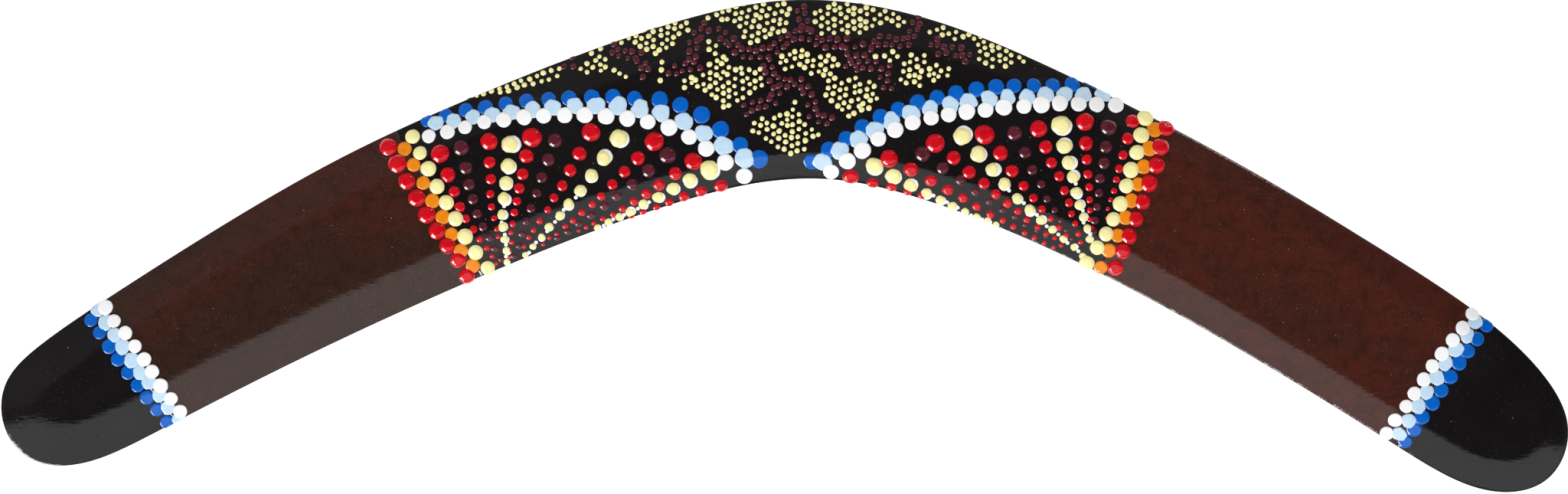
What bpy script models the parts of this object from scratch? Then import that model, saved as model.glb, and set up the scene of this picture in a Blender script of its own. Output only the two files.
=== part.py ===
"""Hand-painted wooden boomerang: a carved blade, its five base coats, and the raised rows of paint drops.

Units are metres. +X runs along the span, +Y from the inside of the elbow to its outside, and +Z out of the
painted front. The flat back lies on Z = 0, and the origin is below the middle of the bounding box.
"""
import math

import bmesh
import bpy
import numpy as np
from mathutils import Vector

# Driving dimensions of the blade
FRONT_HEIGHT = 0.0075       # wood, from the flat back to the flat middle of the front
EDGE_HEIGHT = 0.0045        # wood, at the rim
BEVEL_FLAT = 0.0075         # how far in from the rim the bevel is straight
BEVEL_REACH = 0.0125        # how far in from the rim the front goes on rising
ELBOW_PINCH = 0.60          # how much narrower the bevel is inside the elbow
ELBOW_SPAN = 0.055          # and over what length of it
ELBOW_MIDDLE = 0.042        # Y between the two sides of the elbow
RIGHT_PINCH = 0.38          # how much narrower the bevel is on the right arm
RIGHT_PINCH_SPAN = (0.0, 0.17)      # X where that begins and is full
BACK_EDGE_BEVEL = 0.0008    # chamfer between the rim and the back

# Driving dimensions of the paint
CLEARANCE = 0.0003          # left between layers, and between neighbouring coats
COAT_FILM = 0.00025         # base coat with its varnish
COAT_BOTTOM = 0.0012        # the coats stop this far above the back
DROP_RISE = 0.30            # height of a drop, as a share of its radius
SHOULDER = 0.60             # half width of a row at a drop, as a share of the drop's radius
SHOULDER_PLACE = 0.45       # how far from a drop's centre that width reaches, as a share of its radius
NECK = 0.32                 # half width of a row between two drops, as a share of their radius
NECK_HEIGHT = 0.50          # height of a row between two drops, as a share of theirs
CROWN = 0.60                # width of a row's top, as a share of its width at the foot

PAINT_BUILD = CLEARANCE + COAT_FILM

# Control points of the rim, a closed cubic B-spline, anticlockwise from the right tip's upper corner
OUTER_EDGE = [(0.2015, -0.0195), (0.1645, 0.0035), (0.1270, 0.0265), (0.0655, 0.0575), (0.0325, 0.0690),
              (-0.0030, 0.0730), (-0.0455, 0.0605), (-0.0860, 0.0445), (-0.1260, 0.0270), (-0.1640, 0.0045),
              (-0.1975, -0.0170)]
LEFT_TIP = [(-0.2135, -0.0280), (-0.2245, -0.0380), (-0.2245, -0.0530), (-0.2145, -0.0635)]
INNER_EDGE = [(-0.1975, -0.0625), (-0.1780, -0.0520), (-0.1390, -0.0320), (-0.0990, -0.0135),
              (-0.0585, 0.0035), (-0.0215, 0.0160), (0.0005, 0.0200), (0.0230, 0.0195), (0.0605, 0.0070),
              (0.0995, -0.0115), (0.1380, -0.0335), (0.1710, -0.0540), (0.1915, -0.0675)]
RIGHT_TIP = [(0.2070, -0.0715), (0.2205, -0.0675), (0.2265, -0.0530), (0.2205, -0.0385)]
RIM_CONTROLS = OUTER_EDGE + LEFT_TIP + INNER_EDGE + RIGHT_TIP

# Places on the rim where its four sides meet, counted in control points from the start of the list above
CORNER_OUTER_RIGHT = -1.0
CORNER_OUTER_LEFT = len(OUTER_EDGE) + 0.5
CORNER_INNER_LEFT = len(OUTER_EDGE) + 3.0
CORNER_INNER_RIGHT = len(OUTER_EDGE) + len(LEFT_TIP) + len(INNER_EDGE) + 0.5

# Mesh steps: shares of the width across the blade, and steps along it that are shorter near the tips
ACROSS = [0.0, 0.055, 0.13, 0.23, 0.36, 0.50, 0.64, 0.77, 0.87, 0.945, 1.0]
TIP_STEPS = [0.0, 0.005, 0.013, 0.023]
BLADE_LENGTH = 0.47         # about the length of either long side of the rim
MIDDLE_STEPS = 40

# Lines across the arms where one base coat meets the next: (end on the outer side, end on the inner side)
LEFT_TIP_LINE = ((-0.1962, -0.0208), (-0.1764, -0.0478))
LEFT_ARM_LINE = ((-0.1085, 0.0282), (-0.0890, -0.0054))
RIGHT_ARM_LINE = ((0.1057, 0.0335), (0.0905, -0.0056))
RIGHT_TIP_LINE = ((0.1984, -0.0219), (0.1769, -0.0539))

# Each base coat with the lines that bound it on its left and on its right
BASE_COATS = {
    "black_coat_left_tip": ("black_lacquer", None, LEFT_TIP_LINE),
    "brown_coat_left_arm": ("brown_stain", LEFT_TIP_LINE, LEFT_ARM_LINE),
    "black_coat_centre": ("black_lacquer", LEFT_ARM_LINE, RIGHT_ARM_LINE),
    "brown_coat_right_arm": ("brown_stain", RIGHT_ARM_LINE, RIGHT_TIP_LINE),
    "black_coat_right_tip": ("black_lacquer", RIGHT_TIP_LINE, None),
}

# Rows of drops: paint, number of drops, first and last diameter, and the points that the row passes through
DROP_ROWS = {
    "left_tip_blue_row": (
        "blue_paint", 9, 0.0041, 0.0041, [(-0.1990, -0.0226), (-0.1904, -0.0352), (-0.1790, -0.0506)]),
    "left_tip_light_blue_row": (
        "light_blue_paint", 9, 0.0040, 0.0040, [(-0.1960, -0.0206), (-0.1872, -0.0334), (-0.1762, -0.0482)]),
    "left_tip_white_row": (
        "white_paint", 9, 0.0041, 0.0041, [(-0.1942, -0.0182), (-0.1842, -0.0310), (-0.1738, -0.0462)]),
    "left_end_red_row": (
        "red_paint", 9, 0.0050, 0.0044, [(-0.1122, 0.0272), (-0.1028, 0.0102), (-0.0912, -0.0074)]),
    "left_end_orange_row": (
        "orange_paint", 8, 0.0042, 0.0042, [(-0.1080, 0.0274), (-0.0996, 0.0122), (-0.0893, -0.0050)]),
    "left_end_yellow_row": (
        "yellow_paint", 9, 0.0042, 0.0044, [(-0.1056, 0.0296), (-0.0964, 0.0136), (-0.0862, -0.0038)]),
    "left_arc_blue_row": (
        "blue_paint", 17, 0.0042, 0.0058,
        [(-0.1012, 0.0362), (-0.0815, 0.0408), (-0.0562, 0.0427), (-0.0297, 0.0405), (-0.0070, 0.0249)]),
    "left_arc_light_blue_row": (
        "light_blue_paint", 16, 0.0034, 0.0040,
        [(-0.1000, 0.0339), (-0.0803, 0.0381), (-0.0571, 0.0399), (-0.0312, 0.0374), (-0.0099, 0.0227)]),
    "left_arc_white_row": (
        "white_paint", 17, 0.0040, 0.0056,
        [(-0.0988, 0.0315), (-0.0792, 0.0354), (-0.0580, 0.0371), (-0.0330, 0.0340), (-0.0130, 0.0205)]),
    "right_arc_blue_row": (
        "blue_paint", 16, 0.0056, 0.0046,
        [(0.0080, 0.0245), (0.0263, 0.0366), (0.0498, 0.0441), (0.0696, 0.0460), (0.0850, 0.0459)]),
    "right_arc_light_blue_row": (
        "light_blue_paint", 16, 0.0040, 0.0036,
        [(0.0108, 0.0227), (0.0285, 0.0339), (0.0503, 0.0411), (0.0700, 0.0432), (0.0860, 0.0431)]),
    "right_arc_white_row": (
        "white_paint", 17, 0.0052, 0.0044,
        [(0.0136, 0.0208), (0.0303, 0.0311), (0.0508, 0.0382), (0.0706, 0.0404), (0.0888, 0.0402)]),
    "right_end_yellow_row": (
        "yellow_paint", 10, 0.0044, 0.0042, [(0.1018, 0.0338), (0.0960, 0.0140), (0.0868, -0.0036)]),
    "right_end_orange_row": (
        "orange_paint", 9, 0.0044, 0.0040, [(0.1052, 0.0322), (0.0992, 0.0116), (0.0902, -0.0054)]),
    "right_end_red_row": (
        "red_paint", 9, 0.0048, 0.0044, [(0.1082, 0.0306), (0.1028, 0.0104), (0.0942, -0.0064)]),
    "right_tip_white_row": (
        "white_paint", 10, 0.0040, 0.0040, [(0.1958, -0.0216), (0.1864, -0.0340), (0.1742, -0.0518)]),
    "right_tip_light_blue_row": (
        "light_blue_paint", 9, 0.0040, 0.0040, [(0.1980, -0.0234), (0.1890, -0.0362), (0.1774, -0.0526)]),
    "right_tip_blue_row": (
        "blue_paint", 10, 0.0041, 0.0041, [(0.2008, -0.0244), (0.1918, -0.0374), (0.1796, -0.0550)]),
}

# Fans: spokes of drops that shrink towards the inner edge. Each spoke has its paint, number of drops, and the
# places of its first and last drop; a fan's spokes are listed from left to right.
LEFT_FAN = [
    ("red_paint", 9, (-0.0980, 0.0269), (-0.0844, -0.0005)),
    ("maroon_paint", 8, (-0.0923, 0.0280), (-0.0825, 0.0015)),
    ("red_paint", 9, (-0.0842, 0.0300), (-0.0819, 0.0065)),
    ("yellow_paint", 10, (-0.0780, 0.0291), (-0.0796, -0.0016)),
    ("red_paint", 9, (-0.0719, 0.0313), (-0.0776, 0.0058)),
    ("maroon_paint", 8, (-0.0655, 0.0304), (-0.0740, 0.0049)),
    ("red_paint", 9, (-0.0552, 0.0326), (-0.0699, 0.0052)),
    ("yellow_paint", 11, (-0.0472, 0.0309), (-0.0719, 0.0010)),
    ("red_paint", 9, (-0.0369, 0.0304), (-0.0636, 0.0053)),
    ("maroon_paint", 8, (-0.0336, 0.0260), (-0.0603, 0.0057)),
    ("red_paint", 9, (-0.0259, 0.0245), (-0.0533, 0.0076)),
    ("yellow_paint", 9, (-0.0216, 0.0214), (-0.0543, 0.0049)),
    ("red_paint", 6, (-0.0190, 0.0173), (-0.0378, 0.0098)),
]
RIGHT_FAN = [
    ("red_paint", 3, (0.0193, 0.0199), (0.0301, 0.0169)),
    ("yellow_paint", 10, (0.0259, 0.0225), (0.0603, 0.0063)),
    ("red_paint", 10, (0.0302, 0.0256), (0.0683, 0.0047)),
    ("maroon_paint", 8, (0.0396, 0.0269), (0.0649, 0.0089)),
    ("red_paint", 11, (0.0431, 0.0304), (0.0750, 0.0043)),
    ("yellow_paint", 10, (0.0508, 0.0318), (0.0776, 0.0044)),
    ("red_paint", 9, (0.0575, 0.0321), (0.0785, 0.0060)),
    ("maroon_paint", 8, (0.0659, 0.0326), (0.0791, 0.0090)),
    ("red_paint", 8, (0.0726, 0.0336), (0.0818, 0.0103)),
    ("yellow_paint", 9, (0.0790, 0.0346), (0.0855, 0.0058)),
    ("red_paint", 9, (0.0860, 0.0355), (0.0869, 0.0101)),
    ("maroon_paint", 7, (0.0927, 0.0338), (0.0898, 0.0115)),
    ("red_paint", 7, (0.0985, 0.0337), (0.0947, 0.0182)),
]
SPOKE_FIRST_DROP = {"red_paint": 0.0048, "yellow_paint": 0.0046, "maroon_paint": 0.0040}
SPOKE_LAST_DROP = 0.0014
SPOKE_CROWDING = 1.25       # 1 spaces a spoke's drops evenly; more crowds the last ones

# Paint and wood: colour (linear RGB), roughness
MATERIALS = {
    "bare_wood": ((0.300, 0.170, 0.080), 0.60),
    "black_lacquer": ((0.006, 0.005, 0.005), 0.10),
    "brown_stain": ((0.035, 0.009, 0.005), 0.12),
    "blue_paint": ((0.000, 0.085, 0.500), 0.25),
    "light_blue_paint": ((0.460, 0.640, 0.850), 0.25),
    "white_paint": ((0.850, 0.840, 0.830), 0.25),
    "red_paint": ((0.650, 0.005, 0.008), 0.25),
    "orange_paint": ((0.780, 0.200, 0.006), 0.25),
    "yellow_paint": ((0.830, 0.720, 0.220), 0.25),
    "maroon_paint": ((0.110, 0.014, 0.025), 0.25),
}


def rim_point(place):
    """Point of the closed cubic B-spline at a place counted in control points."""
    first = math.floor(place)
    t = place - first
    a, b, c, d = (np.array(RIM_CONTROLS[(first + step) % len(RIM_CONTROLS)]) for step in (-1, 0, 1, 2))
    return (a * (1 - t) ** 3 + b * (3 * t ** 3 - 6 * t ** 2 + 4) + c * (-3 * t ** 3 + 3 * t ** 2 + 3 * t + 1)
            + d * t ** 3) / 6


def inset(line, amount):
    """Closed anticlockwise line, moved inwards by a small amount."""
    along = np.roll(line, -1, axis=0) - np.roll(line, 1, axis=0)
    along /= np.linalg.norm(along, axis=1)[:, None]
    return line + amount * np.column_stack([-along[:, 1], along[:, 0]])


def wood_rim():
    """The wood's rim as a fine closed line, centred on its bounding box, and the places of its points."""
    places = np.arange(0, len(RIM_CONTROLS), 1 / 16)
    line = np.array([rim_point(place) for place in places])
    line -= (line.min(axis=0) + line.max(axis=0)) / 2
    return places, inset(line, PAINT_BUILD)


RIM_PLACES, RIM = wood_rim()


def rim_side(start, end, shares):
    """Points at the given shares of the length of one side of the rim."""
    places = np.linspace(start, end, 200)
    columns = [np.interp(places, RIM_PLACES, RIM[:, axis], period=len(RIM_CONTROLS)) for axis in (0, 1)]
    side = np.column_stack(columns)
    steps = np.linalg.norm(np.diff(side, axis=0), axis=1)
    length = np.concatenate([[0.0], np.cumsum(steps)])
    return np.column_stack([np.interp(np.array(shares) * length[-1], length, column) for column in side.T])


def rim_distance(points):
    """Distance of each point to the rim."""
    start = RIM
    edge = np.roll(RIM, -1, axis=0) - start
    offset = points[:, None, :] - start[None, :, :]
    share = np.clip((offset * edge).sum(axis=2) / (edge ** 2).sum(axis=1), 0.0, 1.0)
    return np.linalg.norm(offset - share[:, :, None] * edge, axis=2).min(axis=1)


def front_height(points):
    """Height of the wood's front over each point: a straight bevel that rounds into a flat."""
    points = np.asarray(points, dtype=float)
    at_elbow = np.exp(-(points[:, 0] / ELBOW_SPAN) ** 2) * (points[:, 1] < ELBOW_MIDDLE)
    on_right = np.clip((points[:, 0] - RIGHT_PINCH_SPAN[0]) / np.ptp(RIGHT_PINCH_SPAN), 0.0, 1.0)
    on_right = on_right * on_right * (3 - 2 * on_right)
    distance = rim_distance(points) * (1 + ELBOW_PINCH * at_elbow + RIGHT_PINCH * on_right)
    rounding = np.clip(distance - BEVEL_FLAT, 0.0, BEVEL_REACH - BEVEL_FLAT)
    run = np.minimum(distance, BEVEL_FLAT) + rounding - rounding ** 2 / (2 * (BEVEL_REACH - BEVEL_FLAT))
    return EDGE_HEIGHT + 2 * (FRONT_HEIGHT - EDGE_HEIGHT) / (BEVEL_FLAT + BEVEL_REACH) * run


def steps_along():
    """Shares of the blade's length, from the left tip to the right one."""
    near = [step / BLADE_LENGTH for step in TIP_STEPS]
    middle = np.linspace(near[-1], 1 - near[-1], MIDDLE_STEPS + 1)
    return near[:-1] + list(middle) + [1 - share for share in reversed(near[:-1])]


def front_grid():
    """Points of the front, blended between the four sides of the rim: [along, across, xyz]."""
    along = steps_along()
    total = len(RIM_CONTROLS)
    outer = rim_side(CORNER_OUTER_LEFT, CORNER_OUTER_RIGHT, along)
    inner = rim_side(CORNER_INNER_LEFT, CORNER_INNER_RIGHT, along)
    left = rim_side(CORNER_OUTER_LEFT, CORNER_INNER_LEFT, ACROSS)
    right = rim_side(CORNER_OUTER_RIGHT + total, CORNER_INNER_RIGHT, ACROSS)
    u = np.array(along)[:, None, None]
    v = np.array(ACROSS)[None, :, None]
    between_sides = (1 - v) * outer[:, None] + v * inner[:, None]
    between_tips = (1 - u) * left[None] + u * right[None]
    corners = (1 - v) * ((1 - u) * outer[0] + u * outer[-1]) + v * ((1 - u) * inner[0] + u * inner[-1])
    flat = (between_sides + between_tips - corners).reshape(-1, 2)
    return np.column_stack([flat, front_height(flat)]).reshape(len(along), len(ACROSS), 3)


FRONT_GRID = front_grid()


def blade_skin(bottom):
    """Open sheet: the front of the wood with its rim, down to the given height."""
    along, across = FRONT_GRID.shape[:2]
    skin = bmesh.new()
    bmesh.ops.create_grid(skin, x_segments=across - 1, y_segments=along - 1, size=1.0)
    skin.verts.ensure_lookup_table()
    for place, point in zip(skin.verts, FRONT_GRID.reshape(-1, 3)):
        place.co = point
    bmesh.ops.recalc_face_normals(skin, faces=skin.faces)
    if skin.faces[0].normal.z < 0:
        bmesh.ops.reverse_faces(skin, faces=skin.faces)
    rim = [edge for edge in skin.edges if edge.is_boundary]
    wall = bmesh.ops.extrude_edge_only(skin, edges=rim)
    for place in (item for item in wall["geom"] if isinstance(item, bmesh.types.BMVert)):
        place.co.z = bottom
    return skin


def material(name):
    """Plain material in the colour and roughness of one paint or wood."""
    if name in bpy.data.materials:
        return bpy.data.materials[name]
    colour, roughness = MATERIALS[name]
    made = bpy.data.materials.new(name)
    made.use_nodes = True
    shader = made.node_tree.nodes["Principled BSDF"]
    shader.inputs["Base Color"].default_value = (*colour, 1.0)
    shader.inputs["Roughness"].default_value = roughness
    shader.inputs["Metallic"].default_value = 0.0
    made.diffuse_color = (*colour, 1.0)
    return made


def add_part(name, shape, slot, collection):
    """Named object in the collection, made from a bmesh."""
    mesh = bpy.data.meshes.new(name)
    shape.to_mesh(mesh)
    shape.free()
    mesh.materials.append(material(slot))
    mesh.shade_smooth()
    mesh.set_sharp_from_angle(angle=math.radians(35))
    part = bpy.data.objects.new(name, mesh)
    collection.objects.link(part)
    return part


def add_blade(collection):
    """Carved blade: flat back, low rim and a front that rounds up to a flat middle."""
    wood = blade_skin(0.0)
    bmesh.ops.contextual_create(wood, geom=[edge for edge in wood.edges if edge.is_boundary])
    bmesh.ops.recalc_face_normals(wood, faces=wood.faces)
    blade = add_part("wood_blade", wood, "bare_wood", collection)
    back_edge = blade.modifiers.new("back_edge", "BEVEL")
    back_edge.width = BACK_EDGE_BEVEL
    back_edge.segments = 1
    back_edge.limit_method = "ANGLE"
    back_edge.angle_limit = math.radians(75)


def cut_sheet(sheet, line, keep_right):
    """Cut a sheet along an upright plane, half the clearance away from the line, and keep one side."""
    outer, inner = (Vector((*end, 0.0)) for end in line)
    to_right = Vector((outer.y - inner.y, inner.x - outer.x, 0.0)).normalized()
    shift = CLEARANCE / 2 if keep_right else -CLEARANCE / 2
    geometry = sheet.verts[:] + sheet.edges[:] + sheet.faces[:]
    bmesh.ops.bisect_plane(sheet, geom=geometry, dist=1e-6, plane_co=outer + to_right * shift,
                           plane_no=to_right, clear_inner=keep_right, clear_outer=not keep_right)


def add_base_coats(collection):
    """Thin shells of paint over the front and the rim, one for each field of colour."""
    for name, (slot, left_line, right_line) in BASE_COATS.items():
        sheet = blade_skin(COAT_BOTTOM)
        if left_line:
            cut_sheet(sheet, left_line, keep_right=True)
        if right_line:
            cut_sheet(sheet, right_line, keep_right=False)
        sheet.normal_update()
        moves = [(place, place.normal * CLEARANCE) for place in sheet.verts]
        for place, move in moves:
            place.co += move
        coat = add_part(name, sheet, slot, collection)
        film = coat.modifiers.new("film", "SOLIDIFY")
        film.thickness = COAT_FILM
        film.offset = 1.0


def route(points, count):
    """Evenly counted places on a smooth line through the points (Catmull-Rom)."""
    points = [np.array(point) for point in points]
    points = [2 * points[0] - points[1]] + points + [2 * points[-1] - points[-2]]
    spans = len(points) - 3
    places = []
    for share in np.linspace(0, spans, count):
        span = min(int(share), spans - 1)
        t = share - span
        a, b, c, d = points[span:span + 4]
        places.append(0.5 * (2 * b + (c - a) * t + (2 * a - 5 * b + 4 * c - d) * t ** 2
                             + (3 * b - a - 3 * c + d) * t ** 3))
    return np.array(places)


def row_sections(centres, radii):
    """Place, half width and height of each section of a row of joined drops."""
    ways = np.gradient(centres, axis=0)
    ways /= np.linalg.norm(ways, axis=1)[:, None]

    def neck(place, way, radius):
        return place, way, NECK * radius, NECK_HEIGHT * DROP_RISE * radius

    sections = [neck(centres[0] - ways[0] * radii[0], ways[0], radii[0])]
    for index, (centre, way, radius) in enumerate(zip(centres, ways, radii)):
        if index > 0:
            sections.append(neck((centres[index - 1] + centre) / 2, way, (radii[index - 1] + radius) / 2))
        for side in (-SHOULDER_PLACE, SHOULDER_PLACE):
            sections.append((centre + way * side * radius, way, SHOULDER * radius, DROP_RISE * radius))
    sections.append(neck(centres[-1] + ways[-1] * radii[-1], ways[-1], radii[-1]))
    return sections


def add_drop_row(name, slot, centres, radii, collection):
    """Row of low drops that run into each other, seated on the base coat: a loft through its sections."""
    row = bmesh.new()
    rings = []
    for place, way, half_width, height in row_sections(centres, radii):
        across = np.array([-way[1], way[0]])
        feet = [place - across * half_width, place + across * half_width]
        crowns = [place + across * half_width * CROWN, place - across * half_width * CROWN]
        bases = front_height(feet + crowns) + PAINT_BUILD + CLEARANCE
        heights = bases + np.array([0.0, 0.0, height, height])
        ring = [row.verts.new((*point, z)) for point, z in zip(feet + crowns, heights)]
        rings.append(ring)
    for ring, following in zip(rings, rings[1:]):
        for corner in range(4):
            after = (corner + 1) % 4
            row.faces.new((ring[corner], ring[after], following[after], following[corner]))
    row.faces.new(rings[0])
    row.faces.new(rings[-1])
    bmesh.ops.recalc_face_normals(row, faces=row.faces)
    add_part(name, row, slot, collection)


def add_band_and_arc_rows(collection):
    """The rows across the arms, and the rows that arch over the fans."""
    for name, (slot, count, first, last, points) in DROP_ROWS.items():
        add_drop_row(name, slot, route(points, count), np.linspace(first, last, count) / 2, collection)


def add_fan(side, spokes, collection):
    """The spokes of one fan. Along a spoke the drops shrink, and their spacing shrinks with them."""
    for number, (slot, count, first, last) in enumerate(spokes, start=1):
        shares = 1 - (1 - np.linspace(0, 1, count)) ** SPOKE_CROWDING
        centres = np.array(first) + shares[:, None] * (np.array(last) - np.array(first))
        radii = np.linspace(SPOKE_FIRST_DROP[slot], SPOKE_LAST_DROP, count) / 2
        add_drop_row(f"{side}_fan_spoke_{number:02d}", slot, centres, radii, collection)


def main():
    for item in list(bpy.data.objects):
        bpy.data.objects.remove(item, do_unlink=True)
    boomerang = bpy.data.collections.new("boomerang")
    bpy.context.scene.collection.children.link(boomerang)
    add_blade(boomerang)
    add_base_coats(boomerang)
    add_band_and_arc_rows(boomerang)
    add_fan("left", LEFT_FAN, boomerang)
    add_fan("right", RIGHT_FAN, boomerang)


main()
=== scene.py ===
"""Looks of the hand-painted boomerang: carved wood, varnished base coats, and every drop of dot paint.

Units are metres, in the CAD frame: +X along the span, +Y from the inside of the elbow to its outside, and
+Z out of the painted front, with the flat back on Z = 0.
"""
import math
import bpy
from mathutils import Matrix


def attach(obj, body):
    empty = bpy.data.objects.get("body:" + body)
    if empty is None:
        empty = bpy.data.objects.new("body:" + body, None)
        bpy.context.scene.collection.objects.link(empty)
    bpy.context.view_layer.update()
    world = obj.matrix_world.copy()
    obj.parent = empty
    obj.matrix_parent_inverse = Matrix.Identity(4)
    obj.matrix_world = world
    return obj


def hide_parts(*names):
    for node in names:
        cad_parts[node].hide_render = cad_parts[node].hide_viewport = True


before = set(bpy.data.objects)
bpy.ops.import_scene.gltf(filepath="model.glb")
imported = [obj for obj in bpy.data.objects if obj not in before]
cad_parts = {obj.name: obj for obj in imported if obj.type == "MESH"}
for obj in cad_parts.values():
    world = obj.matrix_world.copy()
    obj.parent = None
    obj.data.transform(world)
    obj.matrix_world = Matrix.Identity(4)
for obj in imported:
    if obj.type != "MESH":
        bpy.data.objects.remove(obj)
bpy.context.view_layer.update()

import zlib

import bmesh
import bpy
import numpy as np
from mathutils import Vector

# Blade: the same rim and section as the CAD
EDGE_HEIGHT = 0.0050        # painted front at the rim
FRONT_HEIGHT = 0.0081       # painted front in the flat middle
BEVEL_FLAT = 0.0080         # how far in from the rim the bevel is straight
BEVEL_REACH = 0.0130        # how far in from the rim the front goes on rising
ELBOW_PINCH = 0.60          # how much narrower the bevel is inside the elbow
ELBOW_SPAN = 0.055          # and over what length of it
ELBOW_MIDDLE = 0.042        # Y between the two sides of the elbow
RIGHT_PINCH = 0.38          # how much narrower the bevel is on the right arm
RIGHT_PINCH_SPAN = (0.0, 0.17)      # X where that begins and is full
CREST_SPAN = (0.002, 0.005)         # depth from the rim in which the sides' bevels start to merge
ARRIS_RADIUS = 0.0005       # rounding between the front and the rim's wall
WOOD_DEPTH = 0.00006        # wood's surface below the paint's
COAT_FILM = 0.00012         # base coat with its varnish
COAT_BOTTOM = 0.0012        # the coats stop this far above the back
COAT_LINE_WANDER = 0.00025  # how much their lower edge wanders
WANDER_WAVES = ((23, 0.4), (57, 2.1), (131, 4.0))   # waves round the blade, and their phases
BACK_EDGE_ROUND = 0.0008    # rounding between the rim's wall and the back
SECTION_STEPS = 5           # mesh steps round each of these roundings

BEVEL_SLOPE = 2 * (FRONT_HEIGHT - EDGE_HEIGHT) / (BEVEL_FLAT + BEVEL_REACH)

# Control points of the rim, a closed cubic B-spline, anticlockwise from the right tip's upper corner
OUTER_EDGE = [(0.2015, -0.0195), (0.1645, 0.0035), (0.1270, 0.0265), (0.0655, 0.0575), (0.0325, 0.0690),
              (-0.0030, 0.0730), (-0.0455, 0.0605), (-0.0860, 0.0445), (-0.1260, 0.0270), (-0.1640, 0.0045),
              (-0.1975, -0.0170)]
LEFT_TIP = [(-0.2135, -0.0280), (-0.2245, -0.0380), (-0.2245, -0.0530), (-0.2145, -0.0635)]
INNER_EDGE = [(-0.1975, -0.0625), (-0.1780, -0.0520), (-0.1390, -0.0320), (-0.0990, -0.0135),
              (-0.0585, 0.0035), (-0.0215, 0.0160), (0.0005, 0.0200), (0.0230, 0.0195), (0.0605, 0.0070),
              (0.0995, -0.0115), (0.1380, -0.0335), (0.1710, -0.0540), (0.1915, -0.0675)]
RIGHT_TIP = [(0.2070, -0.0715), (0.2205, -0.0675), (0.2265, -0.0530), (0.2205, -0.0385)]
RIM_CONTROLS = OUTER_EDGE + LEFT_TIP + INNER_EDGE + RIGHT_TIP

# Places on the rim where its four sides meet, counted in control points from the list's start
CORNER_OUTER_RIGHT = -1.0
CORNER_OUTER_LEFT = len(OUTER_EDGE) + 0.5
CORNER_INNER_LEFT = len(OUTER_EDGE) + 3.0
CORNER_INNER_RIGHT = len(OUTER_EDGE) + len(LEFT_TIP) + len(INNER_EDGE) + 0.5

STEPS_ALONG = 380           # mesh steps of the front
STEPS_ACROSS = 56
RIM_FINENESS = 32           # points of the rim from one control point to the next
CHUNK = 4096                # points that are measured against the rim at a time
HEIGHT_GRID = 0.0010        # pitch of the height map that drops are seated on
MAP_MARGIN = 0.004          # how far the map reaches past the rim
EDGE_ZONE = 0.0012          # points this little above the rim's height may lie past the rim

# Lines where one base coat meets the next: (end on the outer side, end on the inner side)
LEFT_TIP_LINE = ((-0.1962, -0.0208), (-0.1764, -0.0478))
LEFT_ARM_LINE = ((-0.1085, 0.0282), (-0.0890, -0.0054))
RIGHT_ARM_LINE = ((0.1057, 0.0335), (0.0905, -0.0056))
RIGHT_TIP_LINE = ((0.1984, -0.0219), (0.1769, -0.0539))

# Each base coat with the lines that bound it on its left and on its right
BASE_COATS = {
    "black_coat_left_tip": ("black_lacquer", None, LEFT_TIP_LINE),
    "brown_coat_left_arm": ("brown_stain", LEFT_TIP_LINE, LEFT_ARM_LINE),
    "black_coat_centre": ("black_lacquer", LEFT_ARM_LINE, RIGHT_ARM_LINE),
    "brown_coat_right_arm": ("brown_stain", RIGHT_ARM_LINE, RIGHT_TIP_LINE),
    "black_coat_right_tip": ("black_lacquer", RIGHT_TIP_LINE, None),
}

# Drops of paint
DROP_GAP = 0.0009           # left between the drops of a spoke
SPOKE_TAPER = 0.80          # below 1, a spoke's drops shrink faster at its start
DROP_SINK = 0.00008         # how far a drop's foot goes into the coat
DROP_SHIFT = 0.00015        # how far a drop is out of place
DROP_WOBBLE = 0.03          # how far its outline is from round, as a share of its radius
SPOKE_WOBBLE = 0.04
LOOSE_WOBBLE = 0.07         # of the field's drops and the spokes' yellow ones
WOBBLE_WAVES = (2, 3, 5, 8)
ROW_SIZES = (0.94, 1.06)    # range of the drops' sizes, as a share of the size planned
SPOKE_SIZES = (0.93, 1.07)
FIELD_SIZES = (0.85, 1.20)
CURVE_SAMPLES = 24          # points of a row's line from one control point to the next
DROP_SEGMENTS = 24
SMALL_DROP_SEGMENTS = 14
# Height of the drops of spokes, field and white touches, as a share of their radius
DROP_RISE = 0.36
SMALL_DROP_RISE = 0.28
TOUCH_RISE = 0.20
# Sections: (distance from the middle, height); a full drop slopes to its flat top, a flat one is a disc
DROP_SECTION = [(1.0, 0.0), (0.97, 0.17), (0.88, 0.38), (0.72, 0.70), (0.56, 0.96), (0.50, 0.99),
                (0.0, 1.0)]
FLAT_SECTION = [(1.0, 0.0), (0.985, 0.32), (0.93, 0.68), (0.83, 0.92), (0.66, 1.0), (0.0, 1.0)]
SMALL_DROP_SECTION = [(1.0, 0.0), (0.93, 0.35), (0.66, 0.83), (0.0, 1.0)]

# The rows' colours: order of painting, height as a share of the radius, wobble and section
LAYER = 0.00020             # how much higher each later colour lies where colours overlap
ROW_COLOURS = {
    "blue": (0, 0.15, DROP_WOBBLE, FLAT_SECTION),
    "light_blue": (1, 0.10, 0.11, FLAT_SECTION),
    "white": (2, 0.12, DROP_WOBBLE, FLAT_SECTION),
    "orange": (0, 0.22, DROP_WOBBLE, FLAT_SECTION),
    "red": (1, 0.36, DROP_WOBBLE, DROP_SECTION),
    "yellow": (2, 0.31, DROP_WOBBLE, DROP_SECTION),
}

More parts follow.
